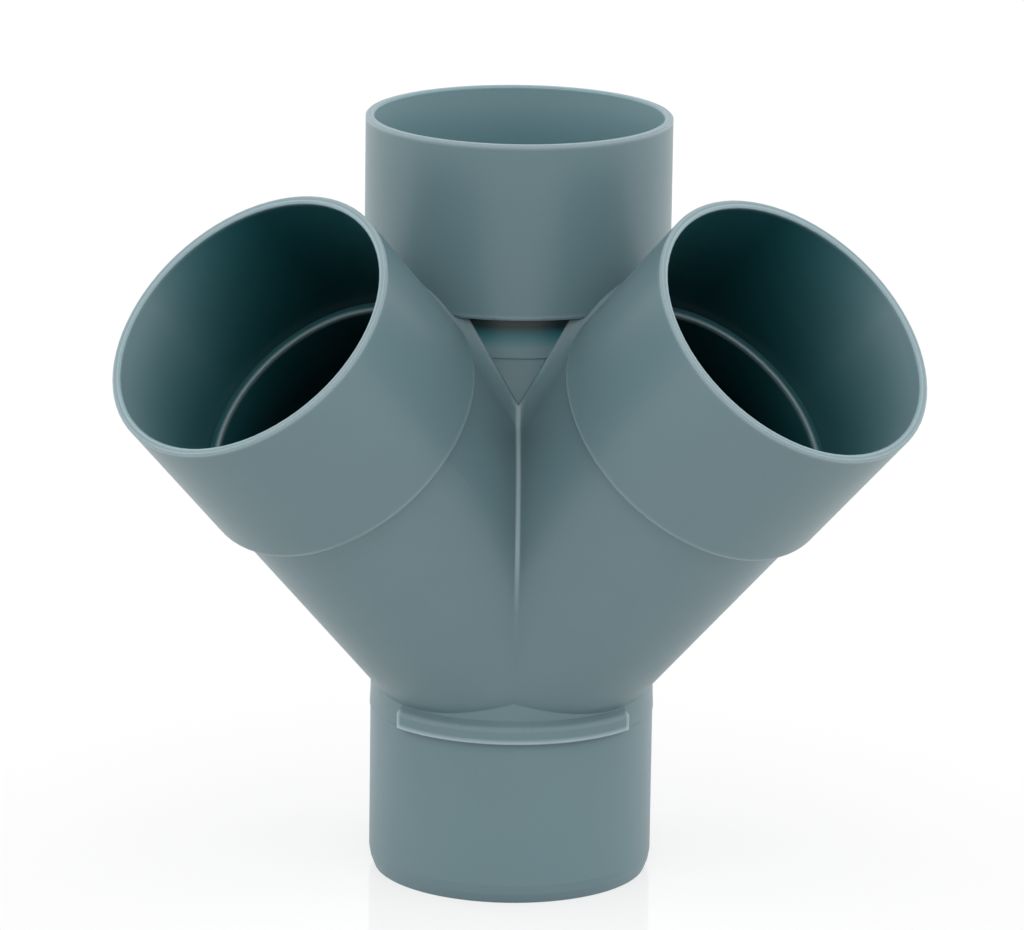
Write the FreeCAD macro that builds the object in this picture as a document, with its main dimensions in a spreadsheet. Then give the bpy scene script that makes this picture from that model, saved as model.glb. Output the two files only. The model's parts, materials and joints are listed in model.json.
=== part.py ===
import FreeCAD, Part
import os
import Sketcher

# Double branch for an 80 mm rainwater pipe, moulded as one piece.
# The origin is the centre of the spigot's end face, and the run goes up along +Z.
# The two branches rise to the front, on the -Y side, and X = 0 is the mirror plane.

NODE = "junction_body"

# Driving sizes, in millimetres and degrees
SIZES = {
    "spigot_od": 80.0,
    "body_wall": 2.2,
    "branch_inset": 0.1,
    "junction_height": 70.0,
    "limb_length": 147.0,
    "branch_tilt": 45.0,
    "branch_spread": 45.0,
    "socket_clearance": 0.3,
    "socket_wall": 2.4,
    "socket_length": 49.0,
    "socket_depth": 46.5,
    "rim_lead_in": 0.5,
    "rim_bevel": 0.4,
    "shoulder_round": 0.9,
    "spigot_chamfer": 1.5,
    "spigot_chamfer_length": 5.3,
    "crotch_round": 6.5,
    "crease_round": 1.0,
    "notch_foot": 73.9,
    "notch_height": 27.0,
    "band_step": 0.3,
    "band_length": 11.0,
    "collar_projection": 1.8,
    "collar_height": 4.4,
    "collar_gap": 1.9,
    "collar_half_angle": 51.0,
    "collar_round": 1.1,
    "stop_line": 0.2,
}

# How far a cutting solid runs past the face that it opens
CUT_MARGIN = "1.0"
# The zone whose inner corners are rounded, as shares of the run's radius
ZONE_RADIUS = 1.55
ZONE_START = 0.25
ZONE_LENGTH = 2.9
# Where the two flats of a rounded edge meet, as a share of its depth
FLAT_SHARE = 0.3
# A triangle's corners are this share of its height away from its middle
TRIANGLE_SHARE = "2 / 3"
# Two lengths closer than this are the same
TOLERANCE = 1e-4

# Sizes that follow from the driving ones
RUN_R = "(sizes.spigot_od / 2)"
RUN_BORE_R = f"({RUN_R} - sizes.body_wall)"
BRANCH_R = f"({RUN_R} - sizes.branch_inset)"
BRANCH_BORE_R = f"({BRANCH_R} - sizes.body_wall)"
SOCKET_BORE_R = f"({RUN_R} + sizes.socket_clearance)"
SOCKET_R = f"({SOCKET_BORE_R} + sizes.socket_wall)"
SHOULDER = "(sizes.limb_length - sizes.socket_length)"
LEDGE = "(sizes.limb_length - sizes.socket_depth)"
LEAD_IN_START = "(sizes.limb_length - sizes.rim_lead_in)"
BORE_END = f"(sizes.limb_length + {CUT_MARGIN})"
BORE_END_R = f"({SOCKET_BORE_R} + sizes.rim_lead_in + {CUT_MARGIN})"
RUN_TOP = "(sizes.junction_height + sizes.limb_length)"
BRANCH_FOOT = f"({RUN_R} * tan(sizes.branch_tilt * 1 deg / 2))"
COLLAR_TOP = f"(sizes.junction_height - {BRANCH_FOOT} - sizes.collar_gap)"
COLLAR_FOOT = f"({COLLAR_TOP} - sizes.collar_height)"
COLLAR_R = f"({RUN_R} + sizes.collar_projection)"

# Each limb turns about Z, then leans, from the point where the three axes meet
LIMBS = {
    "top": ("0", "0"),
    "right": ("sizes.branch_spread", "sizes.branch_tilt"),
    "left": ("-sizes.branch_spread", "sizes.branch_tilt"),
}
BRANCHES = ("right", "left")

doc = FreeCAD.newDocument("double_branch")


def make_sheet():
    sheet = doc.addObject("Spreadsheet::Sheet", "sizes")
    for row, (name, value) in enumerate(SIZES.items(), 1):
        sheet.set(f"A{row}", name)
        sheet.set(f"B{row}", str(value))
        sheet.setAlias(f"B{row}", name)
    doc.recompute()


def value_of(expression):
    value = doc.sizes.evalExpression(expression)
    return float(getattr(value, "Value", value))


def limb_placement(limb):
    """Placement on a limb's axis."""
    turn, lean = LIMBS[limb]
    spot = "create(<<vector>>; 0; 0; sizes.junction_height)"
    return f"create(<<placement>>; {spot}; create(<<rotation>>; {turn}; 0; {lean}))"


def pin_corner(sketch, index, axis, expression):
    """Hold one coordinate of a corner to its size, or to the axis where it is zero."""
    if expression == "0":
        sketch.addConstraint(Sketcher.Constraint("PointOnObject", index, 1, -2 if axis == "X" else -1))
        return
    name = f"{axis.lower()}{index}"
    row = sketch.addConstraint(Sketcher.Constraint("Distance" + axis, -1, 1, index, 1, value_of(expression)))
    sketch.renameConstraint(row, name)
    sketch.setExpression("Constraints." + name, expression)


def half_section(body, corners):
    """A closed outline beside the body's Z axis: radius, then height, of each corner."""
    sketch = body.newObject("Sketcher::SketchObject", body.Name + "_outline")
    plane = next(f for f in body.Origin.OriginFeatures if f.Role == "YZ_Plane")
    sketch.AttachmentSupport = [(plane, "")]
    sketch.MapMode = "FlatFace"
    spots = [FreeCAD.Vector(value_of(r), value_of(h), 0) for r, h in corners]
    for start, end in zip(spots, spots[1:] + spots[:1]):
        sketch.addGeometry(Part.LineSegment(start, end), False)
    for index, (radius, height) in enumerate(corners):
        sketch.addConstraint(Sketcher.Constraint("Coincident", index, 1, (index - 1) % len(corners), 2))
        pin_corner(sketch, index, "X", radius)
        pin_corner(sketch, index, "Y", height)
    return sketch


def turned_body(name, corners):
    """A body turned about its own Z axis from a half section."""
    body = doc.addObject("PartDesign::Body", name)
    sketch = half_section(body, corners)
    turned = body.newObject("PartDesign::Revolution", name + "_turned")
    turned.Profile = sketch
    turned.ReferenceAxis = (sketch, ["V_Axis"])
    turned.Angle = 360
    doc.recompute()
    return body


def round_ring(body, radius, height, size):
    """Round the circular edge of a turned body at a radius and a height."""
    base = body.Tip
    names = []
    for number, edge in enumerate(base.Shape.Edges, 1):
        if not isinstance(edge.Curve, Part.Circle):
            continue
        same_radius = abs(edge.Curve.Radius - value_of(radius)) < TOLERANCE
        same_height = abs(edge.Curve.Center.z - value_of(height)) < TOLERANCE
        if same_radius and same_height:
            names.append(f"Edge{number}")
    fillet = body.newObject("PartDesign::Fillet", f"{body.Name}_round")
    fillet.Base = (base, names)
    fillet.setExpression("Radius", size)
    doc.recompute()


def make_run():
    """Spigot and run in one straight tube: lead-in of two flats below, fine stop line above the spigot."""
    return turned_body("run_tube", [
        ("0", "0"),
        (f"({RUN_R} - sizes.spigot_chamfer)", "0"),
        (f"({RUN_R} - sizes.spigot_chamfer * {FLAT_SHARE})", "(sizes.spigot_chamfer_length / 2)"),
        (RUN_R, "sizes.spigot_chamfer_length"),
        (RUN_R, COLLAR_FOOT),
        (f"({RUN_R} + sizes.stop_line)", COLLAR_FOOT),
        (RUN_R, COLLAR_TOP),
        (RUN_R, RUN_TOP),
        ("0", RUN_TOP),
    ])


def make_branch(limb):
    tube = doc.addObject("Part::Cylinder", limb + "_tube")
    tube.setExpression("Radius", BRANCH_R)
    tube.setExpression("Height", "sizes.limb_length")
    tube.setExpression("Placement", limb_placement(limb))
    return tube


def make_socket(limb):
    """Outside of a socket: a larger ring, its shoulder rounded in two flats and its rim bevelled."""
    flat = f"(sizes.shoulder_round * {FLAT_SHARE})"
    body = turned_body(limb + "_socket", [
        ("0", SHOULDER),
        (f"({SOCKET_R} - sizes.shoulder_round)", SHOULDER),
        (f"({SOCKET_R} - {flat})", f"({SHOULDER} + {flat})"),
        (SOCKET_R, f"({SHOULDER} + sizes.shoulder_round)"),
        (SOCKET_R, "(sizes.limb_length - sizes.rim_bevel)"),
        (f"({SOCKET_R} - sizes.rim_bevel)", "sizes.limb_length"),
        ("0", "sizes.limb_length"),
    ])
    body.setExpression("Placement", limb_placement(limb))
    return body


def make_bore(limb, start, radius):
    """Stepped bore of a limb: waterway, stop ledge, socket and lead-in."""
    body = turned_body(limb + "_bore", [
        ("0", start),
        (radius, start),
        (radius, LEDGE),
        (SOCKET_BORE_R, LEDGE),
        (SOCKET_BORE_R, LEAD_IN_START),
        (BORE_END_R, BORE_END),
        ("0", BORE_END),
    ])
    body.setExpression("Placement", limb_placement(limb))
    return body


def make_band():
    """Slightly thicker stretch of the run below the top socket."""
    band = doc.addObject("Part::Cylinder", "run_band")
    band.setExpression("Radius", f"{RUN_R} + sizes.band_step")
    band.setExpression("Height", "sizes.band_length")
    band.setExpression("Placement.Base.z", f"sizes.junction_height + {SHOULDER} - sizes.band_length")
    return band


def make_collar():
    """Stop collar round the front of the spigot, with a sloping top."""
    body = doc.addObject("PartDesign::Body", "front_collar")
    inner = f"({RUN_R} - sizes.body_wall / 2)"
    slope_top = f"({COLLAR_TOP} + {COLLAR_R} - {inner})"
    sketch = half_section(body, [
        (f"-{inner}", COLLAR_FOOT),
        (f"-{COLLAR_R}", COLLAR_FOOT),
        (f"-{COLLAR_R}", COLLAR_TOP),
        (f"-{inner}", slope_top),
    ])
    turned = body.newObject("PartDesign::Revolution", "collar_turned")
    turned.Profile = sketch
    turned.ReferenceAxis = (sketch, ["V_Axis"])
    turned.Midplane = True
    turned.setExpression("Angle", "2 * sizes.collar_half_angle")
    doc.recompute()
    round_ring(body, COLLAR_R, COLLAR_TOP, "sizes.collar_round")
    return body


def fuse(name, shapes):
    joined = doc.addObject("Part::MultiFuse", name)
    joined.Shapes = shapes
    joined.Refine = True
    doc.recompute()
    return joined


def cut(name, base, tool):
    rest = doc.addObject("Part::Cut", name)
    rest.Base = base
    rest.Tool = tool
    rest.Refine = True
    doc.recompute()
    return rest


def corner_edges(shape):
    """Edges where the tubes meet, each with its kind: crotch at the run, crease between the branches."""
    run_r = value_of(RUN_R)
    branch_r = value_of(BRANCH_R)
    found = []
    for number, edge in enumerate(shape.Edges, 1):
        faces = shape.ancestorsOfType(edge, Part.Face)
        if not all(isinstance(face.Surface, Part.Cylinder) for face in faces):
            continue
        radii = sorted(face.Surface.Radius for face in faces)
        on_branch = [abs(r - branch_r) < TOLERANCE for r in radii]
        on_run = [abs(r - run_r) < TOLERANCE for r in radii]
        if len(radii) == 2 and on_branch[0] and on_run[1]:
            found.append((number, "crotch"))
        elif len(radii) == 2 and all(on_branch) and not faces[0].isSame(faces[1]):
            found.append((number, "crease"))
    return found


def make_notch():
    """Triangle that stands on its tip, pulled out to the front from the run's axis."""
    notch = doc.addObject("Part::Prism", "notch")
    notch.Polygon = 3
    middle = f"sizes.notch_height * {TRIANGLE_SHARE}"
    notch.setExpression("Circumradius", middle)
    notch.setExpression("Height", "sizes.limb_length")
    spot = f"create(<<vector>>; 0; 0; sizes.junction_height + sizes.notch_foot + {middle})"
    notch.setExpression("Placement", f"create(<<placement>>; {spot}; create(<<rotation>>; 0; 90; 90))")
    return notch


def make_crotch(tubes):
    """Fill that rounds the corners where the tubes meet, with a notch that bares the front of the run."""
    zone = doc.addObject("Part::Cylinder", "crotch_zone")
    zone.setExpression("Radius", f"{RUN_R} * {ZONE_RADIUS}")
    zone.setExpression("Height", f"{RUN_R} * {ZONE_LENGTH}")
    zone.setExpression("Placement.Base.z", f"sizes.junction_height + {RUN_R} * {ZONE_START}")
    space = cut("crotch_space", zone, tubes)
    rounded = doc.addObject("Part::Fillet", "crotch_rounded")
    rounded.Base = space
    rounds = [(number, value_of(f"sizes.{kind}_round")) for number, kind in corner_edges(space.Shape)]
    rounded.Edges = [(number, radius, radius) for number, radius in rounds]
    doc.recompute()
    fill = cut("crotch_fill", zone, rounded)
    return cut("notched_fill", fill, make_notch())


def make_junction():
    tubes = fuse("tubes", [make_run()] + [make_branch(limb) for limb in BRANCHES])
    extras = [make_crotch(tubes), make_band(), make_collar()]
    sockets = [make_socket(limb) for limb in LIMBS]
    outside = fuse("outside", [tubes] + extras + sockets)
    bores = [make_bore("top", f"(-sizes.junction_height - {CUT_MARGIN})", RUN_BORE_R)]
    bores += [make_bore(limb, "0", BRANCH_BORE_R) for limb in BRANCHES]
    junction = cut(NODE, outside, fuse("waterway", bores))
    junction.Label = NODE
    return junction


def check(node):
    for item in doc.Objects:
        if "Invalid" in item.State or "Error" in item.State:
            raise RuntimeError(f"{item.Name} failed: {item.State}")
    if node.Shape.isNull() or not node.Shape.isValid() or len(node.Shape.Solids) != 1:
        raise RuntimeError(f"{node.Label} is not one valid solid")


make_sheet()
junction = make_junction()
check(junction)
os.makedirs("parts", exist_ok=True)
junction.Shape.exportStep(f"parts/{NODE}.step")
print(NODE, "volume", round(junction.Shape.Volume, 1), "box", junction.Shape.BoundBox)
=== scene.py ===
import json
import math

import bpy
from mathutils import Matrix, Vector


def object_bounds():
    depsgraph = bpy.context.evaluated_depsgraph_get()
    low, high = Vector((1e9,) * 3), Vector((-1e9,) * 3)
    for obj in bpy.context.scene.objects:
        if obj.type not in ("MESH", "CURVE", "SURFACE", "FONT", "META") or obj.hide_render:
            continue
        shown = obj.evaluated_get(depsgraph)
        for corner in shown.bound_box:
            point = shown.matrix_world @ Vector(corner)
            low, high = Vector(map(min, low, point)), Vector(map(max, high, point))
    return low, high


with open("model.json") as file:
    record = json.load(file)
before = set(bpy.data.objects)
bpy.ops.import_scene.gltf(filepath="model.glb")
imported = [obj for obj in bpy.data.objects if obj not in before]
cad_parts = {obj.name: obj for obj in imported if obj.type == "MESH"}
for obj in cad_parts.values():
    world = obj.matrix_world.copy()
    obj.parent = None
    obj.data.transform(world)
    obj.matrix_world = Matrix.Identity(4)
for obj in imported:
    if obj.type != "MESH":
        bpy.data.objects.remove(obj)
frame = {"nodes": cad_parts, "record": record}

CAD_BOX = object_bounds()
MM = 0.001
WHITE = (1.0, 1.0, 1.0, 1.0)

# Camera: the photograph's view, in its own frame of 1024 by 930 pixels
IMAGE_WIDTH = 1024
FOCAL_PIXELS = 6647.6
SENSOR_WIDTH = 36.0
CAMERA_YAW = math.radians(1.084)
CAMERA_PITCH = math.radians(14.471)
CAMERA_ROLL = math.radians(0.803)
CAMERA_DISTANCE = 1868.30 * MM
CAMERA_TARGET = Vector((-0.757, 0.0, 116.601)) * MM

# Plastic of the fitting, with the size of the patches of each pattern
PLASTIC_COLOUR = (0.095, 0.160, 0.178)
PLASTIC_IOR = 1.53
LEAST_ROUGHNESS = 0.34
MOST_ROUGHNESS = 0.40
GLOSS_SIZE = 7.0 * MM
GLOSS_DETAIL = 3.0
CLOUD_SIZE = 30.0 * MM
CLOUD_DETAIL = 3.0
CLOUD_DEPTH = 0.04
SPECK_SIZE = 1.2 * MM
SPECK_DETAIL = 2.0
SPECK_DEPTH = 0.02
GRAIN_SIZE = 1.0 * MM
GRAIN_DETAIL = 2.0
GRAIN_HEIGHT = 0.002 * MM
NOISE_ROUGHNESS = 0.55

# Edges: a little round everywhere, and paler on all that stands out from the wall of the run, a painted
# highlight
HIGHLIGHT_COLOUR = (0.29, 0.375, 0.40)
EDGE_WIDTH = 1.6 * MM
EDGE_SHARE = 2.2
EDGE_START = 40.7 * MM
EDGE_FULL = 41.2 * MM
EDGE_SAMPLES = 5
ROUND_RADIUS = 0.35 * MM
ROUND_SAMPLES = 4

# Bores: a point is in one where it is nearer to the axis than a limit within the wall, wider in the socket
SOCKETS = [mount for mount in frame["record"]["mounts"] if mount["kind"] == "bore"]
SOCKET_MARGIN = 0.9 * MM
BORE_LIMIT = 39.0 * MM
STEP_DEPTH = 47.3 * MM
BORE_REACH = 140.0 * MM

# Painted light and shade in the bores: paler by the mouth, then greener, nearly black in the depth and dim
# on the roof; the two dark colours also paint the shadow under the shoulder
BORE_PAINTED_LIGHT_COLOUR = (0.172, 0.275, 0.303)
PAINTED_HALF_SHADE_COLOUR = (0.0, 0.240, 0.275)
PAINTED_SHADE_COLOUR = (0.0, 0.010, 0.013)
DEPTH_START = 4.0 * MM
DEPTH_END = 62.0 * MM
ROOF_START = -0.6
ROOF_END = 0.0
ROOF_SHADE = 0.16

# Painted shadow: a dark line under the shoulder of the top socket, wider and fading downwards in the notch
# at the front
SHOULDER_HEIGHT = 168.0 * MM
SHOULDER_RADIUS = 40.6 * MM
SHOULDER_DARK = 0.7 * MM
SHOULDER_FADE = 1.4 * MM
NOTCH_DARK = 2.2 * MM
NOTCH_FADE = 8.3 * MM
NOTCH_START = -36.0 * MM
NOTCH_FULL = -37.5 * MM

# Painted highlight: a pale line in the crease between the branches
CREASE_SHARE = 0.5
CREASE_CORE = 0.4 * MM
CREASE_LINE = 0.8 * MM
CREASE_FRONT = -41.0 * MM
CREASE_FOOT = 88.0 * MM
CREASE_FULL = 105.0 * MM
CREASE_TOP = 160.0 * MM

# Floor
FLOOR_SIZE = 12.0
FLOOR_DROP = 0.05 * MM
FLOOR_IOR = 1.17
FLOOR_ROUGHNESS = 0.03
FLOOR_COLOUR = (0.82, 0.82, 0.82, 1.0)
FLOOR_GLOW = 0.7

# Soft lights, each on both sides of the mirror plane: turned from the front, raised, how bright
LIGHTS = (
    (0.0, 45.0, 2.75),
    (45.0, 35.0, 2.8),
    (45.0, 65.0, 0.8),
    (65.0, 5.0, 1.0),
    (90.0, 25.0, 2.4),
    (90.0, 50.0, 2.8),
    (110.0, 5.0, 3.2),
    (135.0, 5.0, 5.5),
    (180.0, 5.0, 1.0),
)
LIGHT_NARROWNESS = 24.0

# Places of the colour sockets on a mix node, whose sockets for other kinds of value have the same names
MIX_FIRST = 6
MIX_SECOND = 7
MIX_RESULT = 2


def node(tree, kind, **inputs):
    """A new shader node with constant values on its named sockets."""
    made = tree.nodes.new(kind)
    for name, value in inputs.items():
        made.inputs[name.replace("_", " ")].default_value = value
    return made


def math_node(tree, operation, *operands):
    """Result of a maths node; each operand is a socket or a number."""
    made = tree.nodes.new("ShaderNodeMath")
    made.operation = operation
    for slot, operand in zip(made.inputs, operands):
        if isinstance(operand, (int, float)):
            slot.default_value = operand
        else:
            tree.links.new(operand, slot)
    return made.outputs[0]


def vector_node(tree, operation, *operands):
    """A vector maths node; each operand is a socket or a vector."""
    made = tree.nodes.new("ShaderNodeVectorMath")
    made.operation = operation
    for slot, operand in zip(made.inputs, operands):
        if isinstance(operand, Vector):
            slot.default_value = operand
        else:
            tree.links.new(operand, slot)
    return made


def split_node(tree, vector):
    """A node with the X, Y and Z of a vector."""
    made = tree.nodes.new("ShaderNodeSeparateXYZ")
    tree.links.new(vector, made.inputs[0])
    return made


def mix_colour(tree, share, first, second):
    """Blend by a share of two colours, each a socket or three numbers."""
    made = tree.nodes.new("ShaderNodeMix")
    made.data_type = "RGBA"
    made.clamp_factor = True
    tree.links.new(share, made.inputs["Factor"])
    for place, operand in ((MIX_FIRST, first), (MIX_SECOND, second)):
        if isinstance(operand, tuple):
            made.inputs[place].default_value = (*operand, 1.0)
        else:
            tree.links.new(operand, made.inputs[place])
    return made.outputs[MIX_RESULT]


def ramp(tree, value, start, end, lowest=0.0):
    """Rises from the lowest level to 1 while a value goes from start to end."""
    made = node(tree, "ShaderNodeMapRange", From_Min=start, From_Max=end, To_Min=lowest)
    tree.links.new(value, made.inputs["Value"])
    return made.outputs["Result"]


def noise(tree, place, size, detail):
    """Cloudy noise from 0 to 1 whose patches have about the given size."""
    made = node(tree, "ShaderNodeTexNoise", Scale=1.0 / size, Detail=detail, Roughness=NOISE_ROUGHNESS)
    tree.links.new(place, made.inputs["Vector"])
    return made.outputs["Fac"]


def new_material(name):
    """An empty material and its node tree."""
    material = bpy.data.materials.new(name)
    material.use_nodes = True
    material.node_tree.nodes.clear()
    return material, material.node_tree


def bore_place(tree, place, socket):
    """1 in the bore of a socket and 0 elsewhere, and the depth under the socket's mouth."""
    axis = Vector(socket["axis"]).normalized()
    mouth = Vector(socket["pos_m"]) + axis * socket["dims"]["length_mm"] * MM / 2
    offset = vector_node(tree, "SUBTRACT", mouth, place).outputs["Vector"]
    depth = vector_node(tree, "DOT_PRODUCT", offset, axis).outputs["Value"]
    across = vector_node(tree, "CROSS_PRODUCT", offset, axis).outputs["Vector"]
    radius = vector_node(tree, "LENGTH", across).outputs["Value"]
    widening = socket["dims"]["r_mm"] * MM + SOCKET_MARGIN - BORE_LIMIT
    in_socket = math_node(tree, "LESS_THAN", depth, STEP_DEPTH)
    limit = math_node(tree, "ADD", math_node(tree, "MULTIPLY", in_socket, widening), BORE_LIMIT)
    near = math_node(tree, "LESS_THAN", radius, limit)
    reached = math_node(tree, "LESS_THAN", depth, BORE_REACH)
    return math_node(tree, "MULTIPLY", near, reached), depth


def bore_shade(tree, place):
    """1 outside and 0 in a bore; then 1 where a point is open to light, less in the depth and on a roof,
    where shade is painted.
    """
    facing = split_node(tree, tree.nodes.new("ShaderNodeNewGeometry").outputs["Normal"])
    roof = ramp(tree, facing.outputs["Z"], ROOF_START, ROOF_END, ROOF_SHADE)
    outside = 1.0
    open_share = 1.0
    for socket in SOCKETS:
        inside, depth = bore_place(tree, place, socket)
        clear = math_node(tree, "SUBTRACT", 1.0, inside)
        lit = math_node(tree, "MULTIPLY", ramp(tree, depth, DEPTH_END, DEPTH_START), roof)
        outside = math_node(tree, "MINIMUM", outside, clear)
        open_share = math_node(tree, "MINIMUM", open_share, math_node(tree, "MAXIMUM", clear, lit))
    return outside, open_share


def run_radius(tree, split):
    """Distance from the run's axis."""
    squares = [math_node(tree, "MULTIPLY", split.outputs[name], split.outputs[name]) for name in "XY"]
    return math_node(tree, "SQRT", math_node(tree, "ADD", *squares))


def painted_shoulder_shadow(tree, radius, split):
    """0 on the run just under the shoulder of the top socket, where a shadow is painted, 1 elsewhere."""
    outside = math_node(tree, "GREATER_THAN", radius, SHOULDER_RADIUS)
    below = math_node(tree, "SUBTRACT", SHOULDER_HEIGHT, split.outputs["Z"])
    drop = math_node(tree, "ABSOLUTE", below)
    thin = ramp(tree, drop, SHOULDER_DARK, SHOULDER_FADE)
    aside = ramp(tree, split.outputs["Y"], NOTCH_FULL, NOTCH_START)
    wide = math_node(tree, "MAXIMUM", aside, ramp(tree, drop, NOTCH_DARK, NOTCH_FADE))
    return math_node(tree, "MAXIMUM", outside, math_node(tree, "MINIMUM", thin, wide))


def crease_highlight_line(tree, split):
    """1 in the middle of the crease between the branches, where a highlight is painted, 0 elsewhere."""
    middle = ramp(tree, math_node(tree, "ABSOLUTE", split.outputs["X"]), CREASE_LINE, CREASE_CORE)
    front = math_node(tree, "LESS_THAN", split.outputs["Y"], CREASE_FRONT)
    above = ramp(tree, split.outputs["Z"], CREASE_FOOT, CREASE_FULL)
    below = math_node(tree, "LESS_THAN", split.outputs["Z"], CREASE_TOP)
    place = math_node(tree, "MULTIPLY", front, math_node(tree, "MULTIPLY", above, below))
    return math_node(tree, "MULTIPLY", middle, place)


def edge_sharpness(tree):
    """0 on flat walls, and more the less material lies behind the surface, as along a sharp edge."""
    behind = node(tree, "ShaderNodeAmbientOcclusion", Distance=EDGE_WIDTH)
    behind.inside = True
    behind.only_local = True
    behind.samples = EDGE_SAMPLES
    return math_node(tree, "SUBTRACT", 1.0, behind.outputs["AO"])


def painted_highlight_share(tree, radius, split):
    """How pale the plastic is along its edges and in the crease: painted highlights."""
    edge = math_node(tree, "MULTIPLY", edge_sharpness(tree), EDGE_SHARE)
    edge_highlight = math_node(tree, "MULTIPLY", edge, ramp(tree, radius, EDGE_START, EDGE_FULL))
    crease = math_node(tree, "MULTIPLY", crease_highlight_line(tree, split), CREASE_SHARE)
    return math_node(tree, "MAXIMUM", edge_highlight, crease)


def colour_level(tree, place):
    """Faint clouds and specks, about 1."""
    cloud = math_node(tree, "MULTIPLY", noise(tree, place, CLOUD_SIZE, CLOUD_DETAIL), 2.0 * CLOUD_DEPTH)
    speck = math_node(tree, "MULTIPLY", noise(tree, place, SPECK_SIZE, SPECK_DETAIL), 2.0 * SPECK_DEPTH)
    both = math_node(tree, "ADD", cloud, speck)
    return math_node(tree, "ADD", both, 1.0 - CLOUD_DEPTH - SPECK_DEPTH)


def plastic_colour(tree, place):
    """Grey-blue; paler along the edges (painted highlight), dark under the shoulder of the top socket
    (painted shadow), paler by the mouths and dark deep in the bores (painted light and shade).
    """
    split = split_node(tree, place)
    radius = run_radius(tree, split)
    outside, open_share = bore_shade(tree, place)
    # Paler wall colour inside the bores: painted light by the mouths
    wall = mix_colour(tree, outside, BORE_PAINTED_LIGHT_COLOUR, PLASTIC_COLOUR)
    plain = vector_node(tree, "SCALE", wall)
    tree.links.new(colour_level(tree, place), plain.inputs["Scale"])
    lit = math_node(tree, "MINIMUM", open_share, painted_shoulder_shadow(tree, radius, split))
    # Towards the dark colours: painted shade in the bores and painted shadow under the shoulder
    dim = mix_colour(tree, lit, PAINTED_HALF_SHADE_COLOUR, plain.outputs["Vector"])
    shaded = mix_colour(tree, lit, PAINTED_SHADE_COLOUR, dim)
    # Paler colour along the edges and in the crease: painted highlights
    return mix_colour(tree, painted_highlight_share(tree, radius, split), shaded, HIGHLIGHT_COLOUR)


def plastic_roughness(tree, place):
    """Patches that are a little more or less glossy."""
    patches = noise(tree, place, GLOSS_SIZE, GLOSS_DETAIL)
    spread = math_node(tree, "MULTIPLY", patches, MOST_ROUGHNESS - LEAST_ROUGHNESS)
    return math_node(tree, "ADD", spread, LEAST_ROUGHNESS)


def plastic_normal(tree, place):
    """Fine moulding grain on edges that are rounded a little."""
    soft = node(tree, "ShaderNodeBevel", Radius=ROUND_RADIUS)
    soft.samples = ROUND_SAMPLES
    grain = node(tree, "ShaderNodeBump", Strength=1.0, Distance=GRAIN_HEIGHT)
    tree.links.new(noise(tree, place, GRAIN_SIZE, GRAIN_DETAIL), grain.inputs["Height"])
    tree.links.new(soft.outputs[0], grain.inputs["Normal"])
    return grain.outputs[0]


def make_plastic():
    """Satin grey-blue moulded plastic."""
    material, tree = new_material("grey_pvc")
    link = tree.links.new
    out = tree.nodes.new("ShaderNodeOutputMaterial")
    place = tree.nodes.new("ShaderNodeTexCoord").outputs["Object"]
    shader = node(tree, "ShaderNodeBsdfPrincipled", IOR=PLASTIC_IOR)
    link(plastic_roughness(tree, place), shader.inputs["Roughness"])
    link(plastic_colour(tree, place), shader.inputs["Base Color"])
    link(plastic_normal(tree, place), shader.inputs["Normal"])
    link(shader.outputs[0], out.inputs["Surface"])
    return material


def make_floor_material():
    """White glossy table top that keeps the part's shadow and its faint reflection."""
    material, tree = new_material("white_table")
    link = tree.links.new
    out = tree.nodes.new("ShaderNodeOutputMaterial")
    diffuse = node(tree, "ShaderNodeBsdfDiffuse", Color=FLOOR_COLOUR)
    glow = node(tree, "ShaderNodeEmission", Color=WHITE, Strength=1.0)
    gloss = node(tree, "ShaderNodeBsdfGlossy", Color=WHITE, Roughness=FLOOR_ROUGHNESS)
    fresnel = node(tree, "ShaderNodeFresnel", IOR=FLOOR_IOR)
    path = tree.nodes.new("ShaderNodeLightPath")
    base = tree.nodes.new("ShaderNodeMixShader")
    link(math_node(tree, "MULTIPLY", path.outputs["Is Camera Ray"], FLOOR_GLOW), base.inputs[0])
    link(diffuse.outputs[0], base.inputs[1])
    link(glow.outputs[0], base.inputs[2])
    top = tree.nodes.new("ShaderNodeMixShader")
    link(fresnel.outputs[0], top.inputs[0])
    link(base.outputs[0], top.inputs[1])
    link(gloss.outputs[0], top.inputs[2])
    link(top.outputs[0], out.inputs["Surface"])
    return material


def make_floor():
    """Plain square floor just under the part."""
    half = FLOOR_SIZE / 2
    mesh = bpy.data.meshes.new("floor")
    corners = [(-half, -half, 0), (half, -half, 0), (half, half, 0), (-half, half, 0)]
    mesh.from_pydata(corners, [], [(0, 1, 2, 3)])
    mesh.materials.append(make_floor_material())
    floor = bpy.data.objects.new("floor", mesh)
    floor.location.z = CAD_BOX[0].z - FLOOR_DROP
    bpy.context.scene.collection.objects.link(floor)


def light_axis(turned, raised, side):
    """Unit vector to a light, turned from the front to one side and raised over the floor."""
    yaw = math.radians(turned) * side
    pitch = math.radians(raised)
    along = math.cos(pitch)
    return Vector((math.sin(yaw) * along, -math.cos(yaw) * along, math.sin(pitch)))


def soft_light(tree, direction, axis, level):
    """Strength of a soft light that is brightest along its axis."""
    dot = vector_node(tree, "DOT_PRODUCT", direction, axis).outputs["Value"]
    facing = math_node(tree, "MAXIMUM", dot, 0.0)
    return math_node(tree, "MULTIPLY", math_node(tree, "POWER", facing, LIGHT_NARROWNESS), level)


def seen_rays(tree):
    """1 for the rays by which the white surroundings are seen, 0 for those that light the part."""
    path = tree.nodes.new("ShaderNodeLightPath").outputs
    mirrored = math_node(tree, "MAXIMUM", path["Is Glossy Ray"], path["Is Transmission Ray"])
    return math_node(tree, "MAXIMUM", path["Is Camera Ray"], mirrored)


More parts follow.
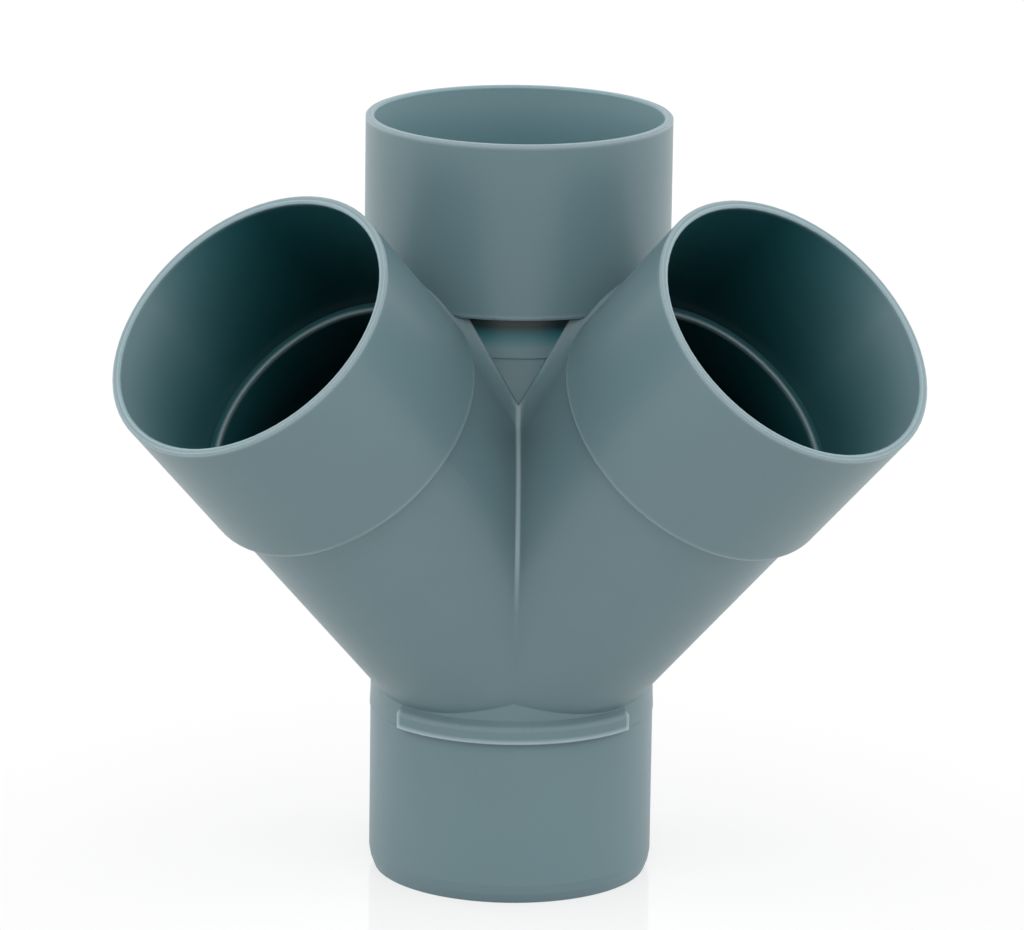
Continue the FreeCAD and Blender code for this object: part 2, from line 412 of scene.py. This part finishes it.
def make_world():
    """Soft studio light from above the front, from both sides and from behind; white where it is seen."""
    world = bpy.data.worlds.new("studio")
    bpy.context.scene.world = world
    world.use_nodes = True
    tree = world.node_tree
    tree.nodes.clear()
    link = tree.links.new
    out = tree.nodes.new("ShaderNodeOutputWorld")
    direction = tree.nodes.new("ShaderNodeTexCoord").outputs["Generated"]
    strength = 0.0
    for turned, raised, level in LIGHTS:
        for side in (-1, 1):
            part = soft_light(tree, direction, light_axis(turned, raised, side), level)
            strength = math_node(tree, "ADD", strength, part)
    light = node(tree, "ShaderNodeBackground", Color=WHITE)
    link(strength, light.inputs["Strength"])
    white = node(tree, "ShaderNodeBackground", Color=WHITE, Strength=1.0)
    mix = tree.nodes.new("ShaderNodeMixShader")
    link(seen_rays(tree), mix.inputs[0])
    link(light.outputs[0], mix.inputs[1])
    link(white.outputs[0], mix.inputs[2])
    link(mix.outputs[0], out.inputs["Surface"])


def make_camera():
    """Camera without lens shift, turned by yaw, pitch and roll about its target."""
    forward = Vector((math.sin(CAMERA_YAW) * math.cos(CAMERA_PITCH),
                      math.cos(CAMERA_YAW) * math.cos(CAMERA_PITCH),
                      -math.sin(CAMERA_PITCH)))
    level = Vector((math.cos(CAMERA_YAW), -math.sin(CAMERA_YAW), 0.0))
    upright = level.cross(forward)
    right = math.cos(CAMERA_ROLL) * level + math.sin(CAMERA_ROLL) * upright
    up = math.cos(CAMERA_ROLL) * upright - math.sin(CAMERA_ROLL) * level
    data = bpy.data.cameras.new("camera")
    data.sensor_fit = "HORIZONTAL"
    data.sensor_width = SENSOR_WIDTH
    data.lens = FOCAL_PIXELS * SENSOR_WIDTH / IMAGE_WIDTH
    camera = bpy.data.objects.new("camera", data)
    turn = Matrix((right, up, -forward)).transposed().to_4x4()
    camera.matrix_world = Matrix.Translation(CAMERA_TARGET - forward * CAMERA_DISTANCE) @ turn
    bpy.context.scene.collection.objects.link(camera)
    bpy.context.scene.camera = camera


def dress():
    """The solid keeps its shape and gets the plastic."""
    body = frame["nodes"]["junction_body"]
    body.material_slots[0].material = make_plastic()


dress()
make_floor()
make_world()
make_camera()
bpy.context.scene.view_settings.view_transform = "Standard"
